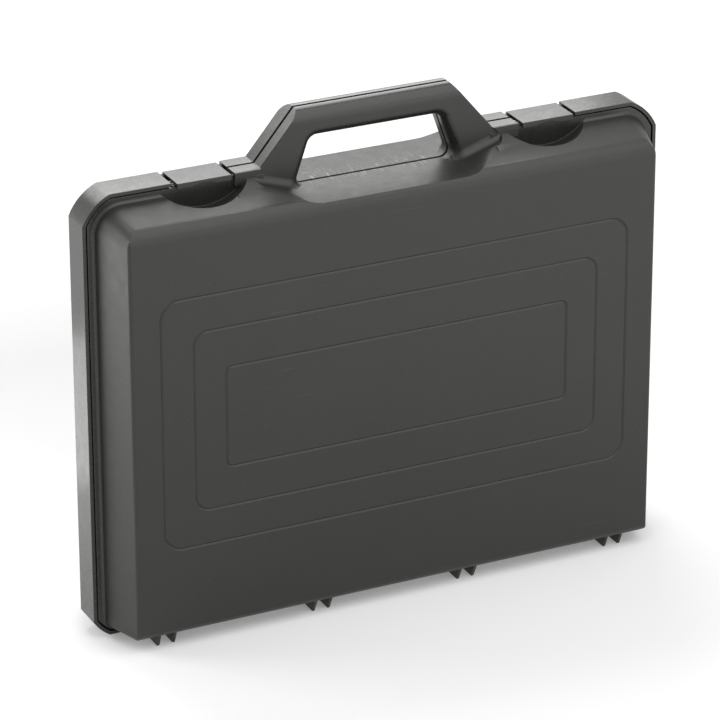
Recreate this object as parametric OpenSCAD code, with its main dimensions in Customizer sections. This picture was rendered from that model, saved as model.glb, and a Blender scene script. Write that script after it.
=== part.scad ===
// Moulded hard tool case, standing on its hinge side with the handle on top.
// Two polypropylene shells meet at the parting plane; the front one is the lid.

/* [Case] */
// Width of the case across the rim
case_w = 430; // [400:5:480]
// Height of the rim, without the handle and the feet
rim_h = 322.6; // [300:1:360]
// Depth of the lid in front of the parting plane
front_d = 45.9; // [42:0.1:54]
// Depth of the back half behind the parting plane
back_d = 38; // [34:0.5:46]
// Wall of both shells
wall = 2.8; // [2.2:0.1:3.4]
// Clearance between the two shells at the parting plane
seam_gap = 0.3; // [0.2:0.1:0.6]

/* [Rim] */
// Depth of the rim band, front to back
rim_d = 23.8; // [22:0.2:28]
// Thickness of the rim band
rim_t = 2.7; // [2.2:0.1:3.2]
// Gap between the rim band and the lid's flange inside it
rim_gap = 0.9; // [0.5:0.1:1.4]
// Set-back of the lid's flange behind the band's front edge
flange_set = 0.6; // [0.3:0.1:1.5]
// Thickness of the flanges
flange_t = 2.8; // [2.2:0.1:3.4]
// Length that the arc takes off each top corner of the rim
top_cut = 20; // [14:1:26]
// Radius of the arc at each top corner of the rim
top_arc = 38; // [32:1:50]
// Length that the arc takes off each bottom corner of the rim
low_cut = 11.5; // [8:0.5:13]
// Radius of the arc at each bottom corner of the rim
low_arc = 34; // [20:1:45]

/* [Panels] */
// Distance from the rim's outer face to the foot of the raised panel
panel_in = 8; // [7:0.5:10]
// Distance from the rim's bottom to the foot of the raised panel
panel_low_in = 6.2; // [5.8:0.1:8]
// Draft of the panel's side walls
panel_draft = 17; // [10:0.5:18]
// Draft of the panel's bottom wall
floor_draft = 1; // [0.5:0.5:3]
// Radius of the panel's top corners at their foot
panel_corner = 20; // [18:1:26]
// Radius of the panel's bottom corners
panel_low_r = 5.5; // [5:0.5:10]
// Rounding along the panel's left and right edges
side_round = 3; // [3:0.5:7]
// Rounding along the panel's top edge
top_round = 12; // [9:0.5:14]
// Rounding along the panel's bottom edge
low_round = 8; // [5:0.5:10]
// Fillet between the flange and the panel's wall
foot_fillet = 2.6; // [1.5:0.1:3.2]

/* [Grooves] */
// Width of the decorative V grooves
groove_w = 2; // [1:0.1:2.4]
// Depth of the grooves
groove_deep = 0.9; // [0.5:0.1:1.2]
// Height of the grooves' centre above the rim's bottom
groove_z = 162.6; // [155:0.2:170]
// Width of the outer groove
groove_w1 = 350; // [320:1:356]
// Height of the outer groove
groove_h1 = 182; // [160:1:200]
// Corner radius of the outer groove
groove_r1 = 13.5; // [8:0.5:20]
// Width of the middle groove
groove_w2 = 303; // [280:1:310]
// Height of the middle groove
groove_h2 = 131; // [110:1:145]
// Corner radius of the middle groove
groove_r2 = 10; // [6:0.5:16]
// Width of the inner groove
groove_w3 = 256.6; // [230:1:265]
// Height of the inner groove
groove_h3 = 73.3; // [60:1:90]
// Corner radius of the inner groove
groove_r3 = 4; // [2.5:0.5:8]

/* [Handle] */
// Depth of the handle over both halves
handle_d = 25; // [23.4:0.2:28]
// Height of the handle's top above the rim
handle_h = 35; // [30:1:42]
// Half the width of the handle along its top
handle_top_x = 57.4; // [54:0.2:62]
// Half the width of the handle at the rim's top
handle_base_x = 86.8; // [85.6:0.2:87.4]
// Thickness of the grip from its top to the opening
grip_t = 19.8; // [17:0.2:22]
// Half the width of the opening along its top
open_top_x = 48.5; // [46:0.5:50]
// Half the width of the opening along its bottom
open_low_x = 60.5; // [58:0.5:62]
// Radius of the opening's top corners
open_top_r = 7; // [6:0.5:10]
// Radius of the opening's bottom corners and of the fillet at the legs' feet
open_low_r = 6; // [4:0.5:7]
// Rounding of the edges round the opening
open_round = 6.5; // [4:0.5:7]
// Rounding of the grip's upper edges
grip_round = 10; // [8:0.5:11]
// Chamfer along the legs' outer edges
leg_chamfer = 0.8; // [0.4:0.1:1.4]
// Width of the shadow groove along the parting line of the handle
rebate_w = 1.9; // [0.8:0.1:2.4]
// Depth of the shadow groove
rebate_deep = 1.3; // [0.4:0.1:1.5]
// Wall of the hollow handle halves
handle_wall = 3; // [2.4:0.1:3.6]
// Depth of the hand recess below the rim's top
recess_deep = 19.6; // [17:0.2:22]
// Half the width of the recess's flat floor
recess_flat = 52; // [46:1:53]
// Half the width of the whole recess
recess_half = 93.5; // [90:0.5:95]
// Slope of the recess's ends
recess_slope = 18; // [14:1:20]
// Radius between the recess's floor and its sloping ends
recess_round = 38; // [20:2:38]
// Radius where the sloping ends turn upward
recess_end_r = 9; // [6:0.5:10]

/* [Latches] */
// Distance from the middle of the case to the middle of each latch
latch_x = 128.4; // [126:0.2:131]
// Width of each latch
latch_w = 38.8; // [36:0.2:40]
// Width of the notch that each latch lies in
notch_w = 45; // [44:0.2:47]
// Thickness of the latch plate
latch_t = 1.8; // [1.6:0.1:2.4]
// Thickness of the latch's lip
lip_t = 2; // [1.4:0.1:2.2]
// Height of the catch and of the hook
catch_h = 0.6; // [0.5:0.1:0.9]
// Reach of the catch and of the hook
catch_reach = 1.2; // [0.8:0.1:1.3]
// Clearance round the closed latch
latch_gap = 0.3; // [0.2:0.05:0.4]
// Width of the finger cut-out in the lip
thumb_w = 19; // [14:0.5:24]
// Height of the finger cut-out in the lip
thumb_h = 1.8; // [1.4:0.1:2]
// Outer radius of the latch's hinge barrel
barrel_r = 3.3; // [3:0.1:3.6]
// Length of the plate behind the middle of the barrel
latch_tail = 1.8; // [0.5:0.1:1.8]
// Radius of the latch pin
latch_pin_r = 1.5; // [1.2:0.1:1.8]
// Radial clearance of the latch on its pin
latch_run = 0.06; // [0.03:0.01:0.1]
// Radius of the finger scoop's outline under each latch
scoop_r = 25.5; // [22:0.5:26]
// Depth of the finger scoop
scoop_deep = 9; // [7:0.5:11]
// Distance from the parting plane to the middle of the scoop
scoop_y = 9; // [5:0.5:10]

/* [Hinges] */
// Distance from the middle to each inner hinge
hinge_in_x = 56; // [50:1:70]
// Distance from the case's side to each outer hinge
hinge_end = 42; // [36:1:60]
// Distance of the hinge axis in front of the rim band
hinge_fore = 5.6; // [5.2:0.1:7]
// Height of the hinge axis above the rim's bottom
hinge_up = 2.4; // [2:0.1:2.6]
// Distance between the two ribs of a hinge or foot
rib_pitch = 11.5; // [10:0.5:16]
// Thickness of the ribs
rib_t = 2; // [1.6:0.1:2.6]
// How far the ribs reach below the rim, as feet
foot_drop = 2; // [1.5:0.1:3]
// Distance from the panel's face back to the ribs' outer tip
rib_set = 8.5; // [6:0.5:14]
// Outer radius of the hinge knuckle
knuckle_r = 3.4; // [3.1:0.1:3.5]
// Radius of the hinge pin
hinge_pin_r = 1.7; // [1.4:0.1:1.9]
// Radial clearance of the lid's ribs on the hinge pin
hinge_run = 0.06; // [0.03:0.01:0.1]

/* [Hidden] */
$fn = 96;
// Extra radius that makes a rounding cross its two faces at a few degrees
cross = 0.01;
// Overshoot of cutting bodies
over = 1;
rim_z0 = foot_drop;
rim_top = foot_drop + rim_h;
rim_half = rim_d / 2;
part_half = seam_gap / 2;
seam_y = (front_d - back_d) / 2;
flange_front = rim_half - flange_set;
flange_in = rim_t + rim_gap;
top_arc_at = arc_offset(top_cut, top_arc);
low_arc_at = arc_offset(low_cut, low_arc);
panel_half = case_w / 2 - panel_in;
panel_z0 = rim_z0 + panel_low_in;
panel_z1 = rim_top - panel_in;
corner_x = panel_half - panel_corner;
corner_z = panel_z1 - panel_corner;
recess_z = rim_top - recess_deep;
strip_front = rim_half + 2.3;
strip_h = 4.2;
strip_step = 0.7;
leg_lean = (handle_base_x - handle_top_x) / handle_h;
handle_half = handle_d / 2;
handle_z = rim_top + handle_h;
open_z = handle_z - grip_t;
open_lean = atan((open_low_x - open_top_x) / (open_z - recess_z));
recess_bend_x = recess_flat + recess_round * tan(recess_slope / 2);
leg_cut_x = handle_base_x - 1.2;
strip_x0 = handle_base_x - 2.2;
notch_in = latch_x - notch_w / 2;
notch_out = latch_x + notch_w / 2;
notch_floor = rim_top - 2 * barrel_r - 0.8;
ear_t = 2.6;
boss_r = 2.4;
latch_axis_y = rim_half - barrel_r;
latch_axis_z = rim_top - barrel_r;
tab_z = rim_top - latch_t - latch_gap;
lip_h = latch_t + 2 * latch_gap + 2 * catch_h + 0.2;
lip_inner = flange_front + catch_reach + latch_gap;
lip_face = lip_inner + lip_t;
thumb_r = (thumb_w * thumb_w / 4 + thumb_h * thumb_h) / (2 * thumb_h);
scoop_sphere = (scoop_r * scoop_r + scoop_deep * scoop_deep) / (2 * scoop_deep);
scoop_z = panel_z1 - tan(panel_draft) * (scoop_y + scoop_r / 2 - flange_front) - scoop_deep + scoop_sphere;
hinge_d = rim_half + hinge_fore;
hinge_z = rim_z0 + hinge_up;
hinge_out_x = case_w / 2 - hinge_end;
hinge_stations = [-hinge_out_x, -hinge_in_x, hinge_in_x, hinge_out_x];
knuckle_len = rib_pitch - rib_t - 2 * seam_gap;
hinge_pin_len = rib_pitch + rib_t + 0.8;

// Distance from a corner's edges to the centre of an arc that cuts the corner off
function arc_offset(cut, r) = cut / 2 + sqrt(r * r - cut * cut / 2) / sqrt(2);

// What a rounding of radius r takes away outside its arc, between two face directions
module rounding_waste(r, from, to) {
  mid = (from + to) / 2;
  reach = r + over;
  tip = reach / cos((to - from) / 2);
  difference() {
    polygon([
      [0, 0],
      [reach * cos(from), reach * sin(from)],
      [tip * cos(mid), tip * sin(mid)],
      [reach * cos(to), reach * sin(to)]
    ]);
    circle(r + cross);
  }
}

// What an arc takes away from one corner, seen from the arc's centre
module corner_waste(at, r, sx, sy) {
  size = at + over;
  difference() {
    translate([sx < 0 ? -size : 0, sy < 0 ? -size : 0]) square(size);
    circle(r);
  }
}

// The rim's outline, moved inward by an inset
module rim_outline(inset) {
  difference() {
    translate([-case_w / 2 + inset, rim_z0 + inset])
      square([case_w - 2 * inset, rim_h - 2 * inset]);
    for (s = [-1, 1]) {
      translate([s * (case_w / 2 - top_arc_at), rim_top - top_arc_at])
        corner_waste(top_arc_at, top_arc - inset, s, 1);
      translate([s * (case_w / 2 - low_arc_at), rim_z0 + low_arc_at])
        corner_waste(low_arc_at, low_arc - inset, s, -1);
    }
  }
}

// Section of the panel's edge: x out from the corner's centre, y out from the parting plane
module edge_section(depth, shrink, foot) {
  face = depth - shrink;
  foot_r = panel_corner - shrink;
  lean = tan(panel_draft);
  wall_at = panel_corner - shrink / cos(panel_draft);
  knee = flange_front - (foot_r - wall_at < 0 ? 0 : (foot_r - wall_at) / lean);
  r = side_round - shrink;
  centre_y = face - r;
  centre_x = wall_at - lean * (centre_y - flange_front) - r / cos(panel_draft);
  difference() {
    polygon([
      [0, foot],
      [foot_r, foot],
      [foot_r, knee],
      [wall_at - lean * (face - flange_front), face],
      [0, face]
    ]);
    translate([centre_x, centre_y]) rounding_waste(r, panel_draft, 90);
  }
}

// Fillet at the foot of the panel's wall, on the same axes as edge_section
module fillet_section() {
  r = foot_fillet;
  spread = r * tan((90 - panel_draft) / 2);
  difference() {
    polygon([
      [panel_corner - over, flange_front - over],
      [panel_corner + spread, flange_front - over],
      [panel_corner + spread, flange_front],
      [panel_corner - spread * sin(panel_draft), flange_front + spread * cos(panel_draft)],
      [panel_corner - over - spread * sin(panel_draft), flange_front + spread * cos(panel_draft)]
    ]);
    translate([panel_corner + spread, flange_front + r]) circle(r + cross);
  }
}

// Carries a section along the panel's left, top and right edges, from a height upward
module sweep_edges(from_z) {
  for (s = [-1, 1]) {
    translate([s * corner_x, from_z, 0])
      mirror([s < 0 ? 1 : 0, 0, 0])
      rotate([90, 0, 180])
      mirror([1, 0, 0])
      linear_extrude(corner_z - from_z) children();
    translate([s * corner_x, corner_z, 0])
      rotate([0, 0, s > 0 ? 0 : 90])
      rotate_extrude(angle = 90) children();
  }
  translate([-corner_x, corner_z, 0])
    rotate([90, 0, 90])
    linear_extrude(2 * corner_x) children();
}

// The raised panel as a solid lying on the parting plane, moved inward by a shrink
module panel_body(depth, shrink, foot) {
  low = panel_z0 + shrink;
  lean = tan(floor_draft);
  face = depth - shrink;
  low_r = low_round - shrink;
  high_r = top_round - shrink;
  low_y = low + lean * (face - low_r - flange_front) + low_r / cos(floor_draft);
  high_wall = panel_z1 - shrink / cos(panel_draft);
  high_c = face - high_r;
  high_y = high_wall - tan(panel_draft) * (high_c - flange_front) - high_r / cos(panel_draft);
  difference() {
    intersection() {
      union() {
        sweep_edges(rim_z0) edge_section(depth, shrink, foot);
        translate([-corner_x, rim_z0, foot])
          cube([2 * corner_x, corner_z - rim_z0, face - foot]);
      }
      rotate([90, 0, 90])
        translate([0, 0, -case_w / 2])
        linear_extrude(case_w)
        difference() {
          polygon([
            [low, foot - over],
            [low, flange_front],
            [low + lean * (face + over - flange_front), face + over],
            [rim_top, face + over],
            [rim_top, foot - over]
          ]);
          translate([low_y, face - low_r]) rounding_waste(low_r, 90, 180 - floor_draft);
          translate([high_y, high_c]) rounding_waste(high_r, panel_draft, 90);
        }
    }
    low_corners(shrink);
  }
}

// What the roundings of the panel's bottom corners take away, along its leaning side walls
module low_corners(shrink) {
  for (s = [0, 1])
    mirror([s, 0, 0])
      translate([panel_half - panel_low_r / cos(panel_draft), panel_z0 + panel_low_r, flange_front])
      rotate([0, -panel_draft, 0])
      linear_extrude(4 * front_d, center = true)
      rounding_waste(panel_low_r - shrink, -90, 0);
}

// The hand recess: everything above its floor and sloping ends
module recess_section(drop, grow) {
  half = recess_half + grow;
  floor_z = recess_z - drop;
  end_r = recess_end_r + grow;
  end_x = half - end_r;
  bend_x = recess_bend_x;
  end_z = floor_z + tan(recess_slope) * (half - bend_x);
  turn_z = floor_z + tan(recess_slope) * (end_x - bend_x) + end_r / cos(recess_slope);
  difference() {
    polygon([
      [-half, handle_z],
      [-half, end_z],
      [-bend_x, floor_z],
      [bend_x, floor_z],
      [half, end_z],
      [half, handle_z]
    ]);
    for (s = [0, 1])
      mirror([s, 0]) {
        translate([recess_flat, floor_z + recess_round])
          rounding_waste(recess_round, -90, recess_slope - 90);
        translate([end_x, turn_z]) rounding_waste(end_r, recess_slope - 90, 0);
      }
  }
}

// The scoop under a latch, in front of a plane parallel to the parting plane
module scoops(grow, from) {
  for (s = [-1, 1])
    intersection() {
      translate([s * latch_x, scoop_z, scoop_y]) sphere(scoop_sphere + grow);
      translate([s * latch_x - scoop_r * 2, panel_z0, from])
        cube([scoop_r * 4, rim_h, front_d]);
    }
}

// The hollow inside a shell, kept clear of the hand recess
module cavity(depth) {
  difference() {
    panel_body(depth, wall, -over);
    translate([0, 0, -2 * over])
      linear_extrude(depth + 2 * over) recess_section(wall, wall);
  }
}

// One V groove round the panel, ready to be cut into its face
module groove(depth, w, h, r) {
  lift = 0.3;
  spread = groove_w / 2 * (groove_deep + lift) / groove_deep;
  section = [[-spread, lift], [0, -groove_deep], [spread, lift]];
  translate([0, rim_z0 + groove_z, depth]) {
    for (s = [-1, 1]) {
      translate([-w / 2 + r, s * h / 2, 0])
        rotate([90, 0, 90])
        linear_extrude(w - 2 * r) polygon(section);
      translate([s * w / 2, h / 2 - r, 0])
        rotate([90, 0, 0])
        linear_extrude(h - 2 * r) polygon(section);
    }
    for (turn = [0:3]) {
      sx = turn == 0 || turn == 3 ? 1 : -1;
      sy = turn < 2 ? 1 : -1;
      translate([sx * (w / 2 - r), sy * (h / 2 - r), 0])
        rotate([0, 0, 90 * turn])
        rotate_extrude(angle = 90)
        translate([r, 0]) polygon(section);
    }
  }
}

module grooves(depth) {
  groove(depth, groove_w1, groove_h1, groove_r1);
  groove(depth, groove_w2, groove_h2, groove_r2);
  groove(depth, groove_w3, groove_h3, groove_r3);
}

// Centre of the arc in an upper or lower corner of the handle's opening
function open_side_x(z, grow) =
  open_low_x - tan(open_lean) * (z - recess_z) + grow / cos(open_lean);
function open_top_centre(r, grow) =
  [open_side_x(open_z + grow - r, grow) - r / cos(open_lean), open_z + grow - r];
function open_low_centre(r, grow) =
  [open_side_x(recess_z - grow + r, grow) - r / cos(open_lean), recess_z - grow + r];

// Outline of the handle's opening, moved outward by grow
module opening_outline(grow) {
  top_r = open_top_r + grow;
  low_r = open_low_r + grow;
  difference() {
    polygon([
      [-open_side_x(recess_z - grow, grow), recess_z - grow],
      [open_side_x(recess_z - grow, grow), recess_z - grow],
      [open_side_x(open_z + grow, grow), open_z + grow],
      [-open_side_x(open_z + grow, grow), open_z + grow]
    ]);
    for (s = [0, 1])
      mirror([s, 0]) {
        translate(open_top_centre(top_r, grow)) rounding_waste(top_r, open_lean, 90);
        translate(open_low_centre(low_r, grow)) rounding_waste(low_r, -90, open_lean);
      }
  }
}

// Rounds the edge between the handle's face and its opening
module opening_flare() {
  top = open_top_centre(open_top_r, 0);
  low = open_low_centre(open_low_r, 0);
  side = cos(open_lean) * (top[1] - low[1]) - sin(open_lean) * (top[0] - low[0]);
  translate([-top[0], open_z, 0])
    rotate([90, 0, 90])
    linear_extrude(2 * top[0]) flare_section();
  for (s = [0, 1])
    mirror([s, 0, 0])
      translate([top[0], top[1], 0])
      rotate([0, 0, open_lean]) {
        rotate_extrude(angle = 90 - open_lean)
          translate([open_top_r, 0]) flare_section();
        translate([open_top_r, 0, 0])
          rotate([90, 0, 0])
          linear_extrude(side) flare_section();
        translate([open_top_r - open_low_r, -side, 0])
          mirror([0, 1, 0])
          rotate_extrude(angle = 90 + open_lean)
          translate([open_low_r, 0]) flare_section();
      }
}

module flare_section() {
  translate([open_round, handle_half - open_round]) rounding_waste(open_round, 90, 180);
}

// Outline of the handle with its legs, moved inward by an inset
module handle_outline(inset) {
  lean = atan(leg_lean);
  low = recess_z - 2 * wall;
  shift = inset / cos(lean);
  top = handle_z - inset;
  top_x = handle_top_x + leg_lean * inset - shift;
  low_x = handle_base_x + leg_lean * (rim_top - low) - shift;
  polygon([[-top_x, top], [top_x, top], [low_x, low], [-low_x, low]]);
}

// Keeps what lies under the grip's rounded back, seen from the side
module grip_section(inset, from) {
  r = grip_round - inset;
  rotate([90, 0, 90])
    translate([0, 0, -case_w / 2])
    linear_extrude(case_w)
    difference() {
      translate([recess_z - 3 * wall, from])
        square([handle_z - inset - recess_z + 3 * wall, handle_half - inset - from]);
      translate([handle_z - inset - r, handle_half - inset - r]) rounding_waste(r, 0, 90);
    }
}

// One half of the handle, cored from the parting plane, with cross ribs
module handle_half_body() {
  difference() {
    intersection() {
      linear_extrude(handle_d)
        intersection() {
          difference() {
            handle_outline(0);
            opening_outline(0);
          }
          recess_section(wall / 2, 0);
        }
      grip_section(0, part_half);
    }
    opening_flare();
    leg_chamfers();
    intersection() {
      linear_extrude(handle_d)
        intersection() {
          difference() {
            handle_outline(handle_wall);
            opening_outline(handle_wall);
          }
          recess_section(-handle_wall, 0);
        }
      grip_section(handle_wall, -over);
      handle_cores();
    }
  }
  foot_fillets();
}

// Chamfer along the outer front edge of both legs
module leg_chamfers() {
  side = 2 * leg_chamfer + over;
  for (s = [0, 1])
    mirror([s, 0, 0])
      translate([handle_top_x, handle_z, handle_half])
      rotate([0, 0, atan(leg_lean)])
      rotate([90, 0, 0])
      linear_extrude(2 * handle_h)
      rotate([0, 0, 45])
      translate([-leg_chamfer / sqrt(2), -side])
      square([side, 2 * side]);
}

// Section of the fillet at a leg's foot: x out from the leg's face, y up from the recess
module foot_section() {
  r = open_low_r;
  difference() {
    translate([-over, -over]) square([r + over, r + over]);
    translate([r, r]) circle(r + cross);
  }
}

// Fillets between the legs' front faces and the recess, turning round the legs' inner edges
module foot_fillets() {
  turn_y = handle_half - open_round;
  low_x = open_low_x + open_round / cos(open_lean);
  foot_x = (low_x + tan(recess_slope) * tan(open_lean) * recess_bend_x)
    / (1 + tan(recess_slope) * tan(open_lean));
  foot_z = recess_z + tan(recess_slope) * (foot_x - recess_bend_x);
  strip_len = recess_half - foot_x + open_low_r;
  for (s = [0, 1])
    mirror([s, 0, 0])
      intersection() {
        translate([foot_x, foot_z, 0])
          rotate([0, 0, recess_slope]) {
            translate([strip_len, 0, handle_half])
              rotate([0, -90, 0])
              linear_extrude(strip_len) foot_section();
            translate([0, 0, turn_y])
              rotate([-90, 0, 0])
              rotate([0, 0, 180])
              rotate_extrude(angle = 90)
              translate([open_round, 0]) foot_section();
          }
        translate([0, recess_z - wall, part_half]) cube([recess_half, handle_h, front_d]);
      }
}

// The cores leave thin ribs across the hollow grip
module handle_cores() {
  rib = 1.6;
  cells = 5;
  pitch = 2 * handle_base_x / cells;
  for (i = [0:cells - 1])
    translate([-handle_base_x + i * pitch + rib / 2, recess_z, -over])
      cube([pitch - rib, handle_z - recess_z, handle_d]);
}

// Panel with the fillet round its foot and any children, dished for the hand
module dished_panel(depth) {
  low_at = panel_z0 + panel_low_r;
  difference() {
    union() {
      panel_body(depth, 0, part_half);
      intersection() {
        union() {
          sweep_edges(low_at) fillet_section();
          for (s = [0, 1])
            mirror([s, 0, 0])
              translate([panel_half - panel_low_r, low_at, 0])
              rotate([0, 0, -90])
              rotate_extrude(angle = 90)
              translate([panel_low_r - panel_corner, 0]) fillet_section();
        }
        linear_extrude(depth) rim_outline(flange_in);
      }
      children();
    }
    translate([0, 0, flange_front]) linear_extrude(depth) recess_section(0, 0);
  }
}

module flange(inset) {
  translate([0, 0, flange_front - flange_t]) linear_extrude(flange_t) rim_outline(inset);
}

// Clears the rim between the handle's legs down to the recess
module hand_gap() {
  translate([0, 0, -rim_d])
    linear_extrude(rim_d + handle_half)
    intersection() {
      recess_section(0, 0);
      translate([-leg_cut_x, recess_z - over]) square([2 * leg_cut_x, handle_z]);
    }
}

// Ribs under the panel: the lid's carry the hinge pins, and all of them are feet
module ribs(depth, inner) {
  corner = [
    depth - low_round,
    panel_z0 + tan(floor_draft) * (depth - low_round - flange_front) + low_round / cos(floor_draft)
  ];
  reach = low_round - wall / 2;
  root_z = panel_z0 + wall / 2;
  tip = depth - rib_set;
  for (x = hinge_stations, s = [-1, 1])
    translate([x + s * rib_pitch / 2 - rib_t / 2, 0, 0])
      rotate([90, 0, 90])
      linear_extrude(rib_t)
      difference() {
        polygon([
          [0, tip],
          [corner[1] - reach * cos(45), corner[0] + reach * cos(45)],
          [root_z, corner[0]],
          [root_z, inner],
          [inner < hinge_d - over ? rim_z0 + rim_t / 2 : 0, inner],
          [0, inner + (inner < hinge_d - over ? hinge_z : 0)]
        ]);
        children();
      }
}

module lid_strip_section() {
  difference() {
    translate([panel_z1 - wall / 2, part_half])
      square([panel_in + wall / 2, strip_front - strip_step - part_half]);
    translate([panel_z1 - wall, -over])
      square([panel_in + wall - rim_t, strip_front - strip_step - flange_t + over]);
  }
  translate([rim_top - strip_h, strip_front - flange_t])
    square([strip_h, flange_t]);
}

// Rim strips of the lid between the handle and the latches, trimmed to the legs
module lid_strips() {
  end_t = 2;
  for (s = [0, 1])
    mirror([s, 0, 0]) {
      difference() {
        translate([strip_x0, 0, 0])
          rotate([90, 0, 90])
          linear_extrude(notch_in - strip_x0) lid_strip_section();
        translate([0, 0, handle_half])
          linear_extrude(strip_front)
          polygon([
            [strip_x0 - over, rim_top + over],
            [handle_base_x - leg_lean * over, rim_top + over],
            [handle_base_x + leg_lean * strip_h, rim_top - strip_h],
            [strip_x0 - over, rim_top - strip_h]
          ]);
      }
      translate([notch_in - end_t, panel_z1 - wall / 2, part_half])
        cube([end_t, panel_in + wall / 2, strip_front - strip_step - part_half]);
    }
}

// Swelling of the lid's top wall that rises to meet each strip
module strip_swells() {
  top_z = rim_top - strip_h - strip_step;
  swell_d = 28;
  swell_end = notch_in + 2.5;
  wall_z = panel_z1 - tan(panel_draft) * (swell_d - flange_front);
  for (s = [0, 1])
    mirror([s, 0, 0])
      translate([strip_x0, 0, 0])
      rotate([90, 0, 90])
      linear_extrude(swell_end - strip_x0)
      polygon([
        [panel_z1 - wall, flange_front - wall / 2],
        [top_z, flange_front - wall / 2],
        [top_z, strip_front - strip_step],
        [wall_z, swell_d],
        [wall_z - wall / 2, swell_d]
      ]);
}

// Upstand of the lid's flange with the catch that the latch hooks under
module lid_catches() {
  catch_in = latch_x - latch_w / 2 + 2;
  for (s = [0, 1])
    mirror([s, 0, 0]) {
      translate([notch_in - over, panel_z1 - wall / 2, flange_front - flange_t])
        cube([notch_out - rim_gap - notch_in + over, tab_z - panel_z1 + wall / 2, flange_t]);
      translate([catch_in, tab_z - catch_h, flange_front - over])
        cube([latch_w - 4, catch_h, catch_reach + over]);
    }
}

// Moves the parting plane back from the middle of the case's depth
module on_seam() {
  translate([0, seam_y, 0]) children();
}

module stand_front() {
  on_seam() rotate([90, 0, 0]) children();
}

module stand_back() {
  on_seam() mirror([0, 1, 0]) rotate([90, 0, 0]) children();
}

module front_shell() {
  color([0.235, 0.235, 0.222])
    stand_front()
    difference() {
      union() {
        difference() {
          union() {
            difference() {
              dished_panel(front_d) strip_swells();
              scoops(0, flange_front);
            }
            flange(flange_in);
            lid_strips();
            lid_catches();
          }
          hand_gap();
          difference() {
            cavity(front_d);
            scoops(wall, flange_front - wall);
          }
        }
        handle_half_body();
        lid_ribs();
      }
      grooves(front_d);
      shadow_groove();
    }
}

// Shadow groove along the parting line, round the handle, its opening and the strips
module shadow_groove() {
  translate([0, 0, part_half - over])
    linear_extrude(over + rebate_w) {
      opening_outline(rebate_deep);
      difference() {
        translate([-notch_in - over, rim_top - rebate_deep])
          square([2 * (notch_in + over), handle_h + rebate_deep + over]);
        handle_outline(rebate_deep);
      }
    }
}

module lid_ribs() {
  inner = hinge_d - hinge_z;
  difference() {
    ribs(front_d, inner) translate([hinge_z, hinge_d]) rounding_waste(hinge_z, 180, 270);
    for (x = hinge_stations)
      translate([x - rib_pitch, hinge_z, hinge_d])
        rotate([0, 90, 0])
        cylinder(r = hinge_pin_r + hinge_run, h = 2 * rib_pitch);
  }
}

module back_shell() {
  color([0.235, 0.235, 0.222])
    stand_back()
    difference() {
      union() {
        difference() {
          union() {
            dished_panel(back_d);
            flange(0);
            rim_band();
          }
          hand_gap();
          band_cuts();
          cavity(back_d);
        }
        handle_half_body();
        latch_ears();
        ribs(back_d, rim_half - over);
        hinge_knuckles();
      }
      grooves(back_d);
      for (s = [-1, 1])
        translate([s * latch_x - notch_w, latch_axis_z, latch_axis_y])
          rotate([0, 90, 0])
          cylinder(r = latch_pin_r, h = 2 * notch_w);
      for (x = hinge_stations)
        translate([x - rib_pitch, hinge_z, -hinge_d])
          rotate([0, 90, 0])
          cylinder(r = hinge_pin_r, h = 2 * rib_pitch);
    }
}

// The band that runs round the case and laps over the lid's flange
module rim_band() {
  translate([0, 0, -rim_half])
    linear_extrude(rim_d)
    difference() {
      rim_outline(0);
      rim_outline(rim_t);
    }
}

// Notches for the latches, and the stretch of band that belongs to the lid
module band_cuts() {
  for (s = [-1, 1])
    translate([s * latch_x - notch_w / 2, notch_floor, -rim_d])
      cube([notch_w, rim_h, 2 * rim_d]);
  translate([-notch_in - over, panel_z1, -rim_d])
    cube([2 * (notch_in + over), rim_h, rim_d + part_half]);
}

// Ears and bosses at both ends of each notch hold the latch pins
module latch_ears() {
  boss = (notch_w - latch_w) / 2 - latch_gap;
  for (s = [0, 1], e = [0, 1])
    mirror([s, 0, 0])
      translate([latch_x, 0, 0])
      mirror([e, 0, 0]) {
        translate([notch_w / 2, panel_z1 - wall / 2, part_half])
          cube([ear_t, panel_in + wall / 2, rim_half - part_half]);
        translate([notch_w / 2 - boss, latch_axis_z, latch_axis_y])
          rotate([0, 90, 0])
          cylinder(r = boss_r, h = boss + over);
      }
}

// Knuckles reach forward from the band's lower edge, between the lid's ribs
module hinge_knuckles() {
  arm_top = rim_z0 + rim_t - 0.3;
  arm_end = rim_half - 4;
  for (x = hinge_stations)
    translate([x - knuckle_len / 2, 0, 0]) {
      translate([0, hinge_z, -hinge_d])
        rotate([0, 90, 0])
        cylinder(r = knuckle_r, h = knuckle_len);
      rotate([90, 0, 90])
        linear_extrude(knuckle_len)
        polygon([
          [hinge_z - knuckle_r + 0.5, -hinge_d],
          [rim_z0 + 0.5, -arm_end],
          [arm_top, -arm_end],
          [arm_top, -hinge_d]
        ]);
    }
}

module latch_section() {
  plate_low = rim_top - latch_t;
  union() {
    translate([-lip_inner, plate_low]) square([lip_inner + latch_axis_y + latch_tail, latch_t]);
    translate([-lip_face, rim_top - lip_h]) square([lip_t, lip_h]);
    translate([-lip_face + over / 2, rim_top - lip_h + 0.2])
      square([lip_t - over / 2 + catch_reach, catch_h]);
    translate([latch_axis_y, latch_axis_z]) circle(barrel_r);
  }
}

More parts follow.
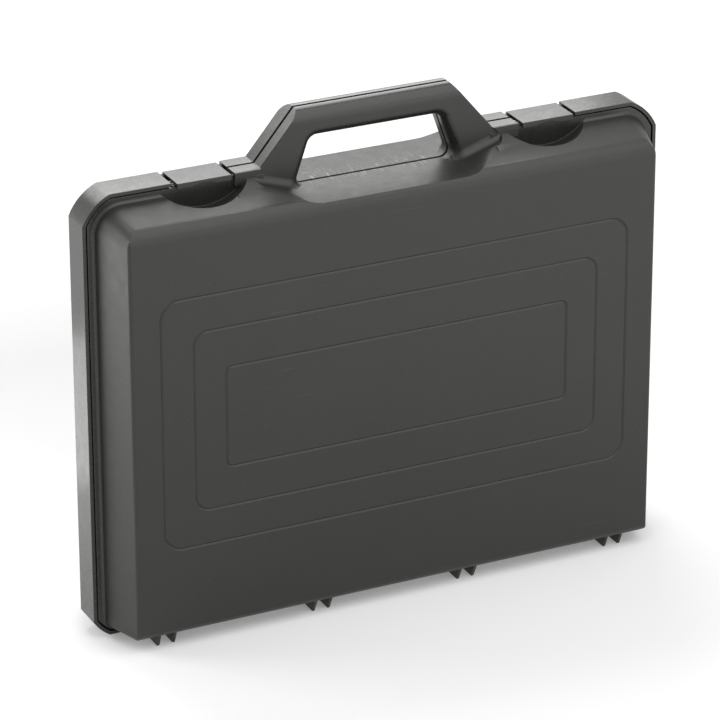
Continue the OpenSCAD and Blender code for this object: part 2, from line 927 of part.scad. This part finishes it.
module latch() {
  rib = 1.8;
  rib_low = 2;
  rib_y0 = -(flange_front - flange_t) + 2 * latch_gap;
  rib_side = 5;
  color([0.225, 0.225, 0.218])
    on_seam()
    difference() {
      union() {
        rotate([90, 0, 90])
          translate([0, 0, -latch_w / 2])
          linear_extrude(latch_w) latch_section();
        for (i = [-1, 0, 1])
          translate([i * (latch_w / 2 - rib_side) - rib / 2, rib_y0, rim_top - latch_t - rib_low])
            cube([rib, latch_axis_y - rib_y0, rib_low + latch_t / 2]);
      }
      translate([0, 0, rim_top - lip_h + thumb_h - thumb_r])
        rotate([90, 0, 0])
        translate([0, 0, flange_front])
        cylinder(r = thumb_r, h = rim_half);
      translate([-latch_w, latch_axis_y, latch_axis_z])
        rotate([0, 90, 0])
        cylinder(r = latch_pin_r + latch_run, h = 2 * latch_w);
    }
}

module left_latch() {
  translate([-latch_x, 0, 0]) latch();
}

module right_latch() {
  translate([latch_x, 0, 0]) latch();
}

module latch_pin(x) {
  length = notch_w + 2 * ear_t;
  color([0.62, 0.62, 0.63])
    on_seam()
    translate([x - length / 2, latch_axis_y, latch_axis_z])
    rotate([0, 90, 0])
    cylinder(r = latch_pin_r, h = length);
}

module hinge_pin(x) {
  color([0.62, 0.62, 0.63])
    on_seam()
    translate([x - hinge_pin_len / 2, -hinge_d, hinge_z])
    rotate([0, 90, 0])
    cylinder(r = hinge_pin_r, h = hinge_pin_len);
}

back_shell();
front_shell();
left_latch();
right_latch();
latch_pin(-latch_x);  // left_latch_pin
latch_pin(latch_x);  // right_latch_pin
for (i = [0:3])
  hinge_pin(hinge_stations[i]);
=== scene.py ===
# Moulded hard tool case on a pale floor: two grained polypropylene shells that close on
# each other, two snap latches beside the carrying handle, and steel pins.
import math

import bmesh
import bpy
from mathutils import Matrix, Vector


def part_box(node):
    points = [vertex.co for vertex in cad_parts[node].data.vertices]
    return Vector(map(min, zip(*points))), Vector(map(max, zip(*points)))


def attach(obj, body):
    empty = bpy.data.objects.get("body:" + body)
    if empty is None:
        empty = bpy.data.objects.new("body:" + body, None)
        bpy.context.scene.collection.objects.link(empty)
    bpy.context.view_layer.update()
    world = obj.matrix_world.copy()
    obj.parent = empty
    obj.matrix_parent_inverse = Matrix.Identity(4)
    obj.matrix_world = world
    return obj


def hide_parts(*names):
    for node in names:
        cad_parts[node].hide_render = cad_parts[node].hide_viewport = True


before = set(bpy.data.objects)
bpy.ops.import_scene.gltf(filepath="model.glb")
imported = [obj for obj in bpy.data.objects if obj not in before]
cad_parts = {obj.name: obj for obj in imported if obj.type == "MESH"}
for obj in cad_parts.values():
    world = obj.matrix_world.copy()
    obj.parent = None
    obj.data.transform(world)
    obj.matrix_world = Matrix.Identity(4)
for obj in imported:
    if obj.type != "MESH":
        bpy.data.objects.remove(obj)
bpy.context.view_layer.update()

# The back shell: the half that stays put, with the rim band round the whole case and the
# rear half of the handle. It is injection moulded in one shot of polypropylene, and its
# edges keep the small radius of the mould.
MOULD_RADIUS = 0.0003
SAME_POINT = 2e-6
FLAT_ANGLE = math.radians(0.3)
EDGE_ANGLE = math.radians(38)
EDGE_STEPS = 2


def linear(hex_colour):
    """Turns an sRGB hex colour into the linear colour that a shader reads."""
    parts = [int(hex_colour[i:i + 2], 16) / 255 for i in (1, 3, 5)]
    return [p / 12.92 if p <= 0.04045 else ((p + 0.055) / 1.055) ** 2.4 for p in parts] + [1.0]


def add(tree, kind, inputs=None, **settings):
    """Adds a node with its settings. An input, by name or place, takes a value or a link."""
    node = tree.nodes.new(kind)
    for name, value in settings.items():
        setattr(node, name, value)
    for name, value in (inputs or {}).items():
        if isinstance(value, bpy.types.NodeSocket):
            tree.links.new(value, node.inputs[name])
        else:
            node.inputs[name].default_value = value
    return node


def rounded_copy(node, piece_name, radius):
    """A closed copy of a CAD solid, with its flats joined and its edges rounded."""
    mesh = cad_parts[node].data.copy()
    form = bmesh.new()
    form.from_mesh(mesh)
    bmesh.ops.remove_doubles(form, verts=form.verts, dist=SAME_POINT)
    bmesh.ops.dissolve_limit(
        form, angle_limit=FLAT_ANGLE, verts=form.verts, edges=form.edges)
    form.to_mesh(mesh)
    form.free()
    mesh.materials.clear()
    mesh.shade_smooth()
    piece = bpy.data.objects.new(piece_name, mesh)
    bpy.context.scene.collection.objects.link(piece)
    edges = piece.modifiers.new("mould_radius", "BEVEL")
    edges.width = radius
    edges.segments = EDGE_STEPS
    edges.limit_method = "ANGLE"
    edges.angle_limit = EDGE_ANGLE
    edges.use_clamp_overlap = False
    flats = piece.modifiers.new("true_flats", "WEIGHTED_NORMAL")
    flats.mode = "FACE_AREA"
    flats.weight = 100
    evaluated = piece.evaluated_get(bpy.context.evaluated_depsgraph_get())
    piece.data = bpy.data.meshes.new_from_object(evaluated)
    piece.modifiers.clear()
    piece.data.name = piece_name
    return piece


# The seam between the halves, and the floor of the hand recess under the grip
SEAM_Y = 0.00395
SEAT_Z = 0.309
# Along each axis: the middle of what the hand rubs, how far it is full, and where it ends
HAND_REACH = (
    ("X", 0.0, 0.056, 0.078),
    ("Y", SEAM_Y, 0.003, 0.017),
    ("Z", SEAT_Z, 0.004, 0.010))
RUB_SPACING = 0.0013
RUB_LENGTH = 0.010


def hand_rub(tree, place):
    """Hairlines across the seam under the grip, where nails and rings rub the recess."""
    at = add(tree, "ShaderNodeSeparateXYZ", {0: place})
    near = None
    for axis, middle, full, gone in HAND_REACH:
        off = add(tree, "ShaderNodeMath", {
            0: at.outputs[axis], 1: middle}, operation="SUBTRACT")
        away = add(tree, "ShaderNodeMath", {0: off.outputs[0]}, operation="ABSOLUTE")
        close = add(tree, "ShaderNodeMapRange", {
            "Value": away.outputs[0], "From Min": full, "From Max": gone,
            "To Min": 1.0, "To Max": 0.0})
        near = close if near is None else add(tree, "ShaderNodeMath", {
            0: near.outputs[0], 1: close.outputs[0]}, operation="MULTIPLY")
    # The lines are about 0.6 mm wide, twice the real width, so that they show
    across = add(tree, "ShaderNodeMapping", {
        "Vector": place, "Scale": (1 / RUB_SPACING, 1 / RUB_LENGTH, 1 / RUB_LENGTH)})
    lines = add(tree, "ShaderNodeTexNoise", {
        "Vector": across.outputs[0], "Scale": 1.0, "Detail": 1.0})
    thin = add(tree, "ShaderNodeMapRange", {
        "Value": lines.outputs["Fac"], "From Min": 0.56, "From Max": 0.72, "To Max": 0.7})
    return add(tree, "ShaderNodeMath", {
        0: thin.outputs[0], 1: near.outputs[0]}, operation="MULTIPLY")


# Half the depth of the band and the handle, and the hand recess, which isn't polished
RIM_HALF = 0.0121
RECESS_HALF = 0.089
RECESS_TOP = 0.316


def polished_rim(tree, place):
    """One on the rim band and the outer faces of the handle, where the tool was polished."""
    at = add(tree, "ShaderNodeSeparateXYZ", {0: place})
    off = add(tree, "ShaderNodeMath", {0: at.outputs["Y"], 1: SEAM_Y}, operation="SUBTRACT")
    from_seam = add(tree, "ShaderNodeMath", {0: off.outputs[0]}, operation="ABSOLUTE")
    rim = add(tree, "ShaderNodeMath", {
        0: from_seam.outputs[0], 1: RIM_HALF}, operation="LESS_THAN")
    from_middle = add(tree, "ShaderNodeMath", {0: at.outputs["X"]}, operation="ABSOLUTE")
    aside = add(tree, "ShaderNodeMath", {
        0: from_middle.outputs[0], 1: RECESS_HALF}, operation="GREATER_THAN")
    above = add(tree, "ShaderNodeMath", {
        0: at.outputs["Z"], 1: RECESS_TOP}, operation="GREATER_THAN")
    outside = add(tree, "ShaderNodeMath", {
        0: aside.outputs[0], 1: above.outputs[0]}, operation="MAXIMUM")
    return add(tree, "ShaderNodeMath", {
        0: rim.outputs[0], 1: outside.outputs[0]}, operation="MULTIPLY")


# Sockets of a Mix node that carry colours
COLOUR_A, COLOUR_B, COLOUR_OUT = 6, 7, 2
PLASTIC_IOR = 1.49
CLOUD_SPAN = 0.09
RUBBED_REACH = 0.0011
PATCH_SPAN = 0.007
SCUFF_SPACING = 0.0008
# Turn and length of the two sets of scuffs
SCUFF_SETS = ((0.35, 0.05), (-0.9, 0.03))
SCUFF_ZONE = 0.06
DUST_SPACING = 0.007
SKIN_SPREAD = 0.05
RUBBED_GLOSS = 0.12
POLISH_GLOSS = 0.18
POLISH_SMOOTHS = 0.8


def moulded_polypropylene(
        name, colours, roughness, grain_mm, grain_depth_mm, wear, scuffs,
        rub=None, polished=None):
    """Polypropylene coloured through and moulded in a spark-eroded tool.

    It gives a dark, dry, faintly mottled surface: a grain of rounded pits, edges rubbed
    paler and smoother by the hand, hairline scuffs and a few pale specks of dust.
    """
    dark, light, worn = (linear(c) for c in colours)
    material = bpy.data.materials.new(name)
    material.use_nodes = True
    tree = material.node_tree
    shader = tree.nodes["Principled BSDF"]
    shader.inputs["IOR"].default_value = PLASTIC_IOR
    place = add(tree, "ShaderNodeTexCoord").outputs["Object"]

    # Flow of the melt: broad clouds, a shade apart
    flow = add(tree, "ShaderNodeTexNoise", {
        "Vector": place, "Scale": 1 / CLOUD_SPAN, "Detail": 4.0, "Roughness": 0.6})
    tone = add(tree, "ShaderNodeMix", {
        "Factor": flow.outputs["Fac"], COLOUR_A: dark, COLOUR_B: light}, data_type="RGBA")

    # Wear: the rounded normal leaves the true one only near an edge, and the rubbing is patchy
    soft = add(tree, "ShaderNodeBevel", {"Radius": RUBBED_REACH}, samples=4)
    true = add(tree, "ShaderNodeNewGeometry")
    apart = add(tree, "ShaderNodeVectorMath", {
        0: soft.outputs["Normal"], 1: true.outputs["Normal"]}, operation="DISTANCE")
    patch = add(tree, "ShaderNodeTexNoise", {
        "Vector": place, "Scale": 1 / PATCH_SPAN, "Detail": 5.0, "Roughness": 0.7})
    rubbed = add(tree, "ShaderNodeMath", {
        0: apart.outputs["Value"], 1: patch.outputs["Fac"]}, operation="MULTIPLY")
    edge = add(tree, "ShaderNodeMapRange", {
        "Value": rubbed.outputs[0], "From Min": 0.10, "From Max": 0.50, "To Max": wear})

    # Scuffs: hairlines 0.4 mm wide drawn from 0.1 mm so that they show, in two directions
    marks = None
    for turn, length in SCUFF_SETS:
        along = add(tree, "ShaderNodeMapping", {
            "Vector": place, "Rotation": (0.0, turn, 0.2 * turn),
            "Scale": (1 / length, 1 / SCUFF_SPACING, 1 / SCUFF_SPACING)})
        lines = add(tree, "ShaderNodeTexNoise", {
            "Vector": along.outputs[0], "Scale": 1.0, "Detail": 2.0, "Roughness": 0.6})
        thin = add(tree, "ShaderNodeMapRange", {
            "Value": lines.outputs["Fac"], "From Min": 0.66, "From Max": 0.80})
        marks = thin if marks is None else add(tree, "ShaderNodeMath", {
            0: marks.outputs[0], 1: thin.outputs[0]}, operation="MAXIMUM")
    zones = add(tree, "ShaderNodeTexNoise", {
        "Vector": place, "Scale": 1 / SCUFF_ZONE, "Detail": 3.0, "Roughness": 0.5})
    handled = add(tree, "ShaderNodeMapRange", {
        "Value": zones.outputs["Fac"], "From Min": 0.45, "From Max": 0.75, "To Max": scuffs})
    scuff = add(tree, "ShaderNodeMath", {
        0: marks.outputs[0], 1: handled.outputs[0]}, operation="MULTIPLY")

    # Dust: pale dots about 0.5 mm across that sit in the grain, in less than half the cells
    cells = add(tree, "ShaderNodeTexVoronoi", {"Vector": place, "Scale": 1 / DUST_SPACING})
    dot = add(tree, "ShaderNodeMapRange", {
        "Value": cells.outputs["Distance"], "From Min": 0.03, "From Max": 0.06,
        "To Min": 0.55, "To Max": 0.0})
    some = add(tree, "ShaderNodeMath", {
        0: cells.outputs["Color"], 1: 0.55}, operation="GREATER_THAN")
    dust = add(tree, "ShaderNodeMath", {
        0: dot.outputs[0], 1: some.outputs[0]}, operation="MULTIPLY")

    paler = edge
    for mark in [scuff, dust] + ([rub(tree, place)] if rub else []):
        paler = add(tree, "ShaderNodeMath", {
            0: paler.outputs[0], 1: mark.outputs[0]}, operation="MAXIMUM")
    colour = add(tree, "ShaderNodeMix", {
        "Factor": paler.outputs[0], COLOUR_A: tone.outputs[COLOUR_OUT], COLOUR_B: worn},
        data_type="RGBA")
    tree.links.new(colour.outputs[COLOUR_OUT], shader.inputs["Base Color"])

    # Sheen of the skin: duller and glossier by turns, and smoother where it is rubbed
    skin = add(tree, "ShaderNodeMapRange", {
        "Value": patch.outputs["Fac"], "From Min": 0.3, "From Max": 0.7,
        "To Min": roughness - SKIN_SPREAD, "To Max": roughness + SKIN_SPREAD})
    gloss = add(tree, "ShaderNodeMath", {
        0: paler.outputs[0], 1: -RUBBED_GLOSS}, operation="MULTIPLY")
    rough = add(tree, "ShaderNodeMath", {
        0: skin.outputs[0], 1: gloss.outputs[0]}, operation="ADD")

    # Grain of the tool, drawn coarser than its real 0.15 mm so that it shows in the picture
    pits = add(tree, "ShaderNodeTexNoise", {
        "Vector": place, "Scale": 1000 / grain_mm, "Detail": 2.0, "Roughness": 0.5})
    relief = add(tree, "ShaderNodeBump", {
        "Height": pits.outputs["Fac"], "Strength": 1.0, "Distance": grain_depth_mm / 1000})

    # Where the tool was polished, the skin is smoother and the grain all but gone
    if polished:
        shine = polished(tree, place)
        rough = add(tree, "ShaderNodeMath", {
            0: shine.outputs[0], 1: -POLISH_GLOSS, 2: rough.outputs[0]},
            operation="MULTIPLY_ADD")
        faint = add(tree, "ShaderNodeMath", {
            0: shine.outputs[0], 1: -POLISH_SMOOTHS, 2: 1.0}, operation="MULTIPLY_ADD")
        tree.links.new(faint.outputs[0], relief.inputs["Strength"])
    tree.links.new(rough.outputs[0], shader.inputs["Roughness"])
    tree.links.new(relief.outputs["Normal"], shader.inputs["Normal"])
    return material


# Dark, light and worn
SHELL_COLOURS = ("#20201d", "#282824", "#6a6a63")
grained = moulded_polypropylene(
    "grained_polypropylene", SHELL_COLOURS,
    roughness=0.44, grain_mm=0.7, grain_depth_mm=0.05, wear=0.5, scuffs=0.3,
    rub=hand_rub, polished=polished_rim)

back_shell = rounded_copy("back_shell", "back_shell_moulding", MOULD_RADIUS)
back_shell.data.materials.append(grained)
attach(back_shell, "base")
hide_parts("back_shell")

# The hinge pins: four short lengths of drawn steel wire with chamfered ends. Each is
# pressed through the two ribs of a hinge, with the back shell's knuckle between them.
WIRE_CHAMFER = 0.0004
WIRE_SIDES = 40
SHARP_ANGLE = math.radians(32)
DIE_LINE_SPACING = 0.00015
DIE_LINE_LENGTH = 0.02
DIE_LINE_DEPTH = 0.00002
TARNISH_SPAN = 0.004
STEEL_COLOURS = ("#a8a8a6", "#c6c6c6")

drawn_steel = bpy.data.materials.new("drawn_steel_wire")
drawn_steel.use_nodes = True
steel_tree = drawn_steel.node_tree
steel_shader = steel_tree.nodes["Principled BSDF"]
steel_shader.inputs["Metallic"].default_value = 1.0
# Drawing through the die leaves fine lines along the wire, and storage leaves it
# unevenly dull
steel_place = add(steel_tree, "ShaderNodeTexCoord").outputs["Object"]
along_wire = add(steel_tree, "ShaderNodeMapping", {
    "Vector": steel_place,
    "Scale": (1 / DIE_LINE_LENGTH, 1 / DIE_LINE_SPACING, 1 / DIE_LINE_SPACING)})
die_lines = add(steel_tree, "ShaderNodeTexNoise", {
    "Vector": along_wire.outputs[0], "Scale": 1.0, "Detail": 3.0})
tarnish = add(steel_tree, "ShaderNodeTexNoise", {
    "Vector": steel_place, "Scale": 1 / TARNISH_SPAN, "Detail": 4.0})
steel_colour = add(steel_tree, "ShaderNodeMix", {
    "Factor": tarnish.outputs["Fac"],
    COLOUR_A: linear(STEEL_COLOURS[0]), COLOUR_B: linear(STEEL_COLOURS[1])},
    data_type="RGBA")
steel_rough = add(steel_tree, "ShaderNodeMapRange", {
    "Value": die_lines.outputs["Fac"], "From Min": 0.3, "From Max": 0.7,
    "To Min": 0.22, "To Max": 0.42})
steel_relief = add(steel_tree, "ShaderNodeBump", {
    "Height": die_lines.outputs["Fac"], "Strength": 0.6, "Distance": DIE_LINE_DEPTH})
steel_tree.links.new(steel_colour.outputs[COLOUR_OUT], steel_shader.inputs["Base Color"])
steel_tree.links.new(steel_rough.outputs[0], steel_shader.inputs["Roughness"])
steel_tree.links.new(steel_relief.outputs["Normal"], steel_shader.inputs["Normal"])

# One tree cuts and chamfers the wire, and lays a length of it along X on every point
wire_tree = bpy.data.node_groups.new("wire_pins", "GeometryNodeTree")
wire_tree.interface.new_socket("Geometry", in_out="INPUT", socket_type="NodeSocketGeometry")
WIRE_INPUTS = {
    name: wire_tree.interface.new_socket(name, in_out="INPUT", socket_type=kind).identifier
    for name, kind in (("Radius", "NodeSocketFloat"), ("Length", "NodeSocketFloat"),
                       ("Chamfer", "NodeSocketFloat"), ("Sides", "NodeSocketInt"),
                       ("Steel", "NodeSocketMaterial"))}
wire_tree.interface.new_socket("Geometry", in_out="OUTPUT", socket_type="NodeSocketGeometry")
wire_in = add(wire_tree, "NodeGroupInput").outputs
straight = add(wire_tree, "ShaderNodeMath", {
    0: wire_in["Chamfer"], 1: -2.0, 2: wire_in["Length"]}, operation="MULTIPLY_ADD")
end_radius = add(wire_tree, "ShaderNodeMath", {
    0: wire_in["Radius"], 1: wire_in["Chamfer"]}, operation="SUBTRACT")
end_scale = add(wire_tree, "ShaderNodeMath", {
    0: end_radius.outputs[0], 1: wire_in["Radius"]}, operation="DIVIDE")
rod = add(wire_tree, "GeometryNodeMeshCylinder", {
    "Vertices": wire_in["Sides"], "Radius": wire_in["Radius"], "Depth": straight.outputs[0]})
ends = add(wire_tree, "FunctionNodeBooleanMath", {
    0: rod.outputs["Top"], 1: rod.outputs["Bottom"]}, operation="OR")
drawn_out = add(wire_tree, "GeometryNodeExtrudeMesh", {
    "Mesh": rod.outputs["Mesh"], "Selection": ends.outputs[0],
    "Offset Scale": wire_in["Chamfer"]})
chamfered = add(wire_tree, "GeometryNodeScaleElements", {
    "Geometry": drawn_out.outputs["Mesh"], "Selection": drawn_out.outputs["Top"],
    "Scale": end_scale.outputs[0]})
laid = add(wire_tree, "GeometryNodeTransform", {
    "Geometry": chamfered.outputs[0], "Rotation": (0.0, math.pi / 2, 0.0)})
placed = add(wire_tree, "GeometryNodeInstanceOnPoints", {
    "Points": wire_in["Geometry"], "Instance": laid.outputs[0]})
single = add(wire_tree, "GeometryNodeRealizeInstances", {"Geometry": placed.outputs[0]})
finished = add(wire_tree, "GeometryNodeSetMaterial", {
    "Geometry": single.outputs[0], "Material": wire_in["Steel"]})
add(wire_tree, "NodeGroupOutput", {"Geometry": finished.outputs[0]})


def wire_pins(piece_name, nodes):
    """Pins of one size, laid where the CAD nodes are, as one mesh that stands for them all."""
    boxes = [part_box(node) for node in nodes]
    points = bpy.data.meshes.new(piece_name)
    points.from_pydata([(low + high) / 2 for low, high in boxes], [], [])
    piece = bpy.data.objects.new(piece_name, points)
    bpy.context.scene.collection.objects.link(piece)
    low, high = boxes[0]
    cut = piece.modifiers.new("wire_pins", "NODES")
    cut.node_group = wire_tree
    cut[WIRE_INPUTS["Radius"]] = (high.z - low.z) / 2
    cut[WIRE_INPUTS["Length"]] = high.x - low.x
    cut[WIRE_INPUTS["Chamfer"]] = WIRE_CHAMFER
    cut[WIRE_INPUTS["Sides"]] = WIRE_SIDES
    cut[WIRE_INPUTS["Steel"]] = drawn_steel
    evaluated = piece.evaluated_get(bpy.context.evaluated_depsgraph_get())
    piece.data = bpy.data.meshes.new_from_object(evaluated)
    piece.modifiers.clear()
    piece.data.name = piece_name
    piece.data.shade_smooth()
    piece.data.set_sharp_from_angle(angle=SHARP_ANGLE)
    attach(piece, "base")
    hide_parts(*nodes)


wire_pins("hinge_pins", ["hinge_pin_1", "hinge_pin_2", "hinge_pin_3", "hinge_pin_4"])

# The front shell: the lid, with the front half of the handle, the latch catches and the
# hinge ribs that are also the front feet. Same moulding and same plastic as the back shell.
front_shell = rounded_copy("front_shell", "front_shell_moulding", MOULD_RADIUS)
front_shell.data.materials.append(grained)
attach(front_shell, "lid")
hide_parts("front_shell")

# The latch pins: longer wire of the same stock, pushed through the ears of the back shell
# and the barrel of each latch.
wire_pins("latch_pins", ["left_latch_pin", "right_latch_pin"])

# The latches: two snap latches moulded in the same polypropylene in a polished tool, so
# they are smoother than the shells, and their lips are rubbed by the thumb.
LATCH_RADIUS = 0.00025
LATCH_COLOURS = ("#1e1e1c", "#242421", "#5e5e5a")
satin = moulded_polypropylene(
    "satin_polypropylene", LATCH_COLOURS,
    roughness=0.30, grain_mm=0.6, grain_depth_mm=0.012, wear=0.6, scuffs=0.8)
for latch in ("left_latch", "right_latch"):
    snap = rounded_copy(latch, latch + "_moulding", LATCH_RADIUS)
    snap.data.materials.append(satin)
    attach(snap, latch)
    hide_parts(latch)

# The camera: a long lens at the photograph's angle, 26 degrees round to the left of the
# lid and 24 degrees above it, a little under three metres away.
AZIMUTH = math.radians(-25.72)
ELEVATION = math.radians(24.03)
ROLL = math.radians(-0.12)
LENS_MM = 214.5
SENSOR_MM = 36.0
DISTANCE = 2.959
AIM = Vector((0.0, SEAM_Y, 0.162))
AIM_OFFSET = (0.0069, -0.00105)

right = Vector((math.cos(AZIMUTH), math.sin(AZIMUTH), 0.0))
forward = Vector((
    -math.sin(AZIMUTH) * math.cos(ELEVATION),
    math.cos(AZIMUTH) * math.cos(ELEVATION),
    -math.sin(ELEVATION)))
up = right.cross(forward)
side = right * math.cos(ROLL) + up * math.sin(ROLL)
rise = up * math.cos(ROLL) - right * math.sin(ROLL)
camera = bpy.data.objects.new("camera", bpy.data.cameras.new("camera"))
camera.data.lens = LENS_MM
camera.data.sensor_width = SENSOR_MM
camera.data.clip_end = 50.0
camera.matrix_world = Matrix((
    (side.x, rise.x, -forward.x, 0.0),
    (side.y, rise.y, -forward.y, 0.0),
    (side.z, rise.z, -forward.z, 0.0),
    (0.0, 0.0, 0.0, 1.0)))
camera.location = AIM - forward * DISTANCE - side * AIM_OFFSET[0] - rise * AIM_OFFSET[1]
bpy.context.scene.collection.objects.link(camera)
bpy.context.scene.camera = camera
bpy.context.scene.view_settings.view_transform = "Standard"

# The studio: a matt pale floor, soft boxes round the case and a pale room that is darker
# overhead. To the camera and in reflections the floor is lifted towards white, the more so
# the further it lies from the case: the smaller lift near it is painted shade round the case,
# and the floor also keeps the case's own shadow.
WHITE = (1.0, 1.0, 1.0, 1.0)
FLOOR_SIZE = 24.0
FLOOR_COLOUR = "#e6e6e6"
# How far the floor is lifted near the case and away from it, and between which distances
# the one turns into the other. The smaller lift near the case is painted shade round it.
FLOOR_LIFT = (0.22, 0.62)
FLOOR_REACH = (0.25, 0.80)
ROOM_LIGHT = 0.50
ROOM_CEILING = 0.8


def seen_rays(tree):
    """One for rays from the camera, reflections and refractions, and nothing for the rest."""
    path = add(tree, "ShaderNodeLightPath")
    seen = path.outputs["Is Camera Ray"]
    for kind in ("Is Glossy Ray", "Is Transmission Ray"):
        seen = add(tree, "ShaderNodeMath", {
            0: seen, 1: path.outputs[kind]}, operation="MAXIMUM").outputs[0]
    return seen


floor_mesh = bpy.data.meshes.new("floor")
half = FLOOR_SIZE / 2
floor_mesh.from_pydata(
    [(-half, -half, 0.0), (half, -half, 0.0), (half, half, 0.0), (-half, half, 0.0)],
    [], [(0, 1, 2, 3)])
floor = bpy.data.objects.new("floor", floor_mesh)
bpy.context.scene.collection.objects.link(floor)
matt_floor = bpy.data.materials.new("matt_white_floor")
matt_floor.use_nodes = True
floor_tree = matt_floor.node_tree
floor_tree.nodes.remove(floor_tree.nodes["Principled BSDF"])
painted = add(floor_tree, "ShaderNodeBsdfDiffuse", {"Color": linear(FLOOR_COLOUR)})
away = add(floor_tree, "ShaderNodeVectorMath", {
    0: add(floor_tree, "ShaderNodeTexCoord").outputs["Object"]}, operation="LENGTH")
# Painted shade: the floor glows less near the case, to the camera and in reflections
painted_shade_near_case = add(floor_tree, "ShaderNodeMapRange", {
    "Value": away.outputs["Value"],
    "From Min": FLOOR_REACH[0], "From Max": FLOOR_REACH[1],
    "To Min": FLOOR_LIFT[0], "To Max": FLOOR_LIFT[1]}, interpolation_type="SMOOTHSTEP")
lift = add(floor_tree, "ShaderNodeMath", {
    0: seen_rays(floor_tree), 1: painted_shade_near_case.outputs[0]}, operation="MULTIPLY")
lifted = add(floor_tree, "ShaderNodeEmission", {
    "Color": WHITE, "Strength": lift.outputs[0]})
both = add(floor_tree, "ShaderNodeAddShader", {
    0: painted.outputs[0], 1: lifted.outputs[0]})
floor_tree.links.new(both.outputs[0], floor_tree.nodes["Material Output"].inputs["Surface"])
floor_mesh.materials.append(matt_floor)

room = bpy.data.worlds.new("room")
room.use_nodes = True
room_tree = room.node_tree
heading = add(room_tree, "ShaderNodeSeparateXYZ", {
    0: add(room_tree, "ShaderNodeTexCoord").outputs["Generated"]})
ceiling = add(room_tree, "ShaderNodeMapRange", {
    "Value": heading.outputs["Z"], "From Min": 0.25, "From Max": 0.75,
    "To Min": 1.0, "To Max": ROOM_CEILING}, interpolation_type="SMOOTHSTEP")
level = add(room_tree, "ShaderNodeMapRange", {
    "Value": seen_rays(room_tree), "To Min": ROOM_LIGHT, "To Max": 1.0})
strength = add(room_tree, "ShaderNodeMath", {
    0: ceiling.outputs[0], 1: level.outputs[0]}, operation="MULTIPLY")
backdrop = room_tree.nodes["Background"]
backdrop.inputs["Color"].default_value = WHITE
room_tree.links.new(strength.outputs[0], backdrop.inputs["Strength"])
bpy.context.scene.world = room


def soft_box(name, place, aim, size, radiance):
    """A soft box of a given brightness, turned to a point, that the camera doesn't see."""
    lamp = bpy.data.lights.new(name, "AREA")
    lamp.shape = "RECTANGLE"
    lamp.size, lamp.size_y = size
    lamp.energy = radiance * math.pi * size[0] * size[1]
    box = bpy.data.objects.new(name, lamp)
    box.location = place
    box.rotation_euler = (Vector(aim) - Vector(place)).to_track_quat("-Z", "Y").to_euler()
    box.visible_camera = False
    bpy.context.scene.collection.objects.link(box)


# Upright behind the case, above it: the flats of the top and the handle's slopes mirror it
soft_box("back_soft_box", (0.03, 0.45, 0.945), (0.03, 0.0, 0.945), (0.80, 0.88), 3.9)
# Close on the right of the camera: it lights the lid, its upper half the most
soft_box("key_soft_box", (0.42, -0.84, 0.55), (0.05, -0.04, 0.30), (0.95, 0.90), 0.95)
# Overhead: it fills the slope above the lid and the rounded top of the handle
soft_box("top_soft_box", (0.20, -0.45, 1.35), (0.0, 0.0, 0.3), (1.5, 1.2), 1.7)
# On the left: the left wall mirrors it, more of it towards the top
soft_box("wall_soft_box", (-0.54, 0.225, 0.32), (-0.15, -0.075, 0.32), (0.25, 0.56), 3.4)
# Low and near on the left: it draws the bright length of the rim band
soft_box("band_soft_box", (-0.303, 0.195, 0.07), (-0.215, 0.015, 0.07), (0.12, 0.12), 1.6)
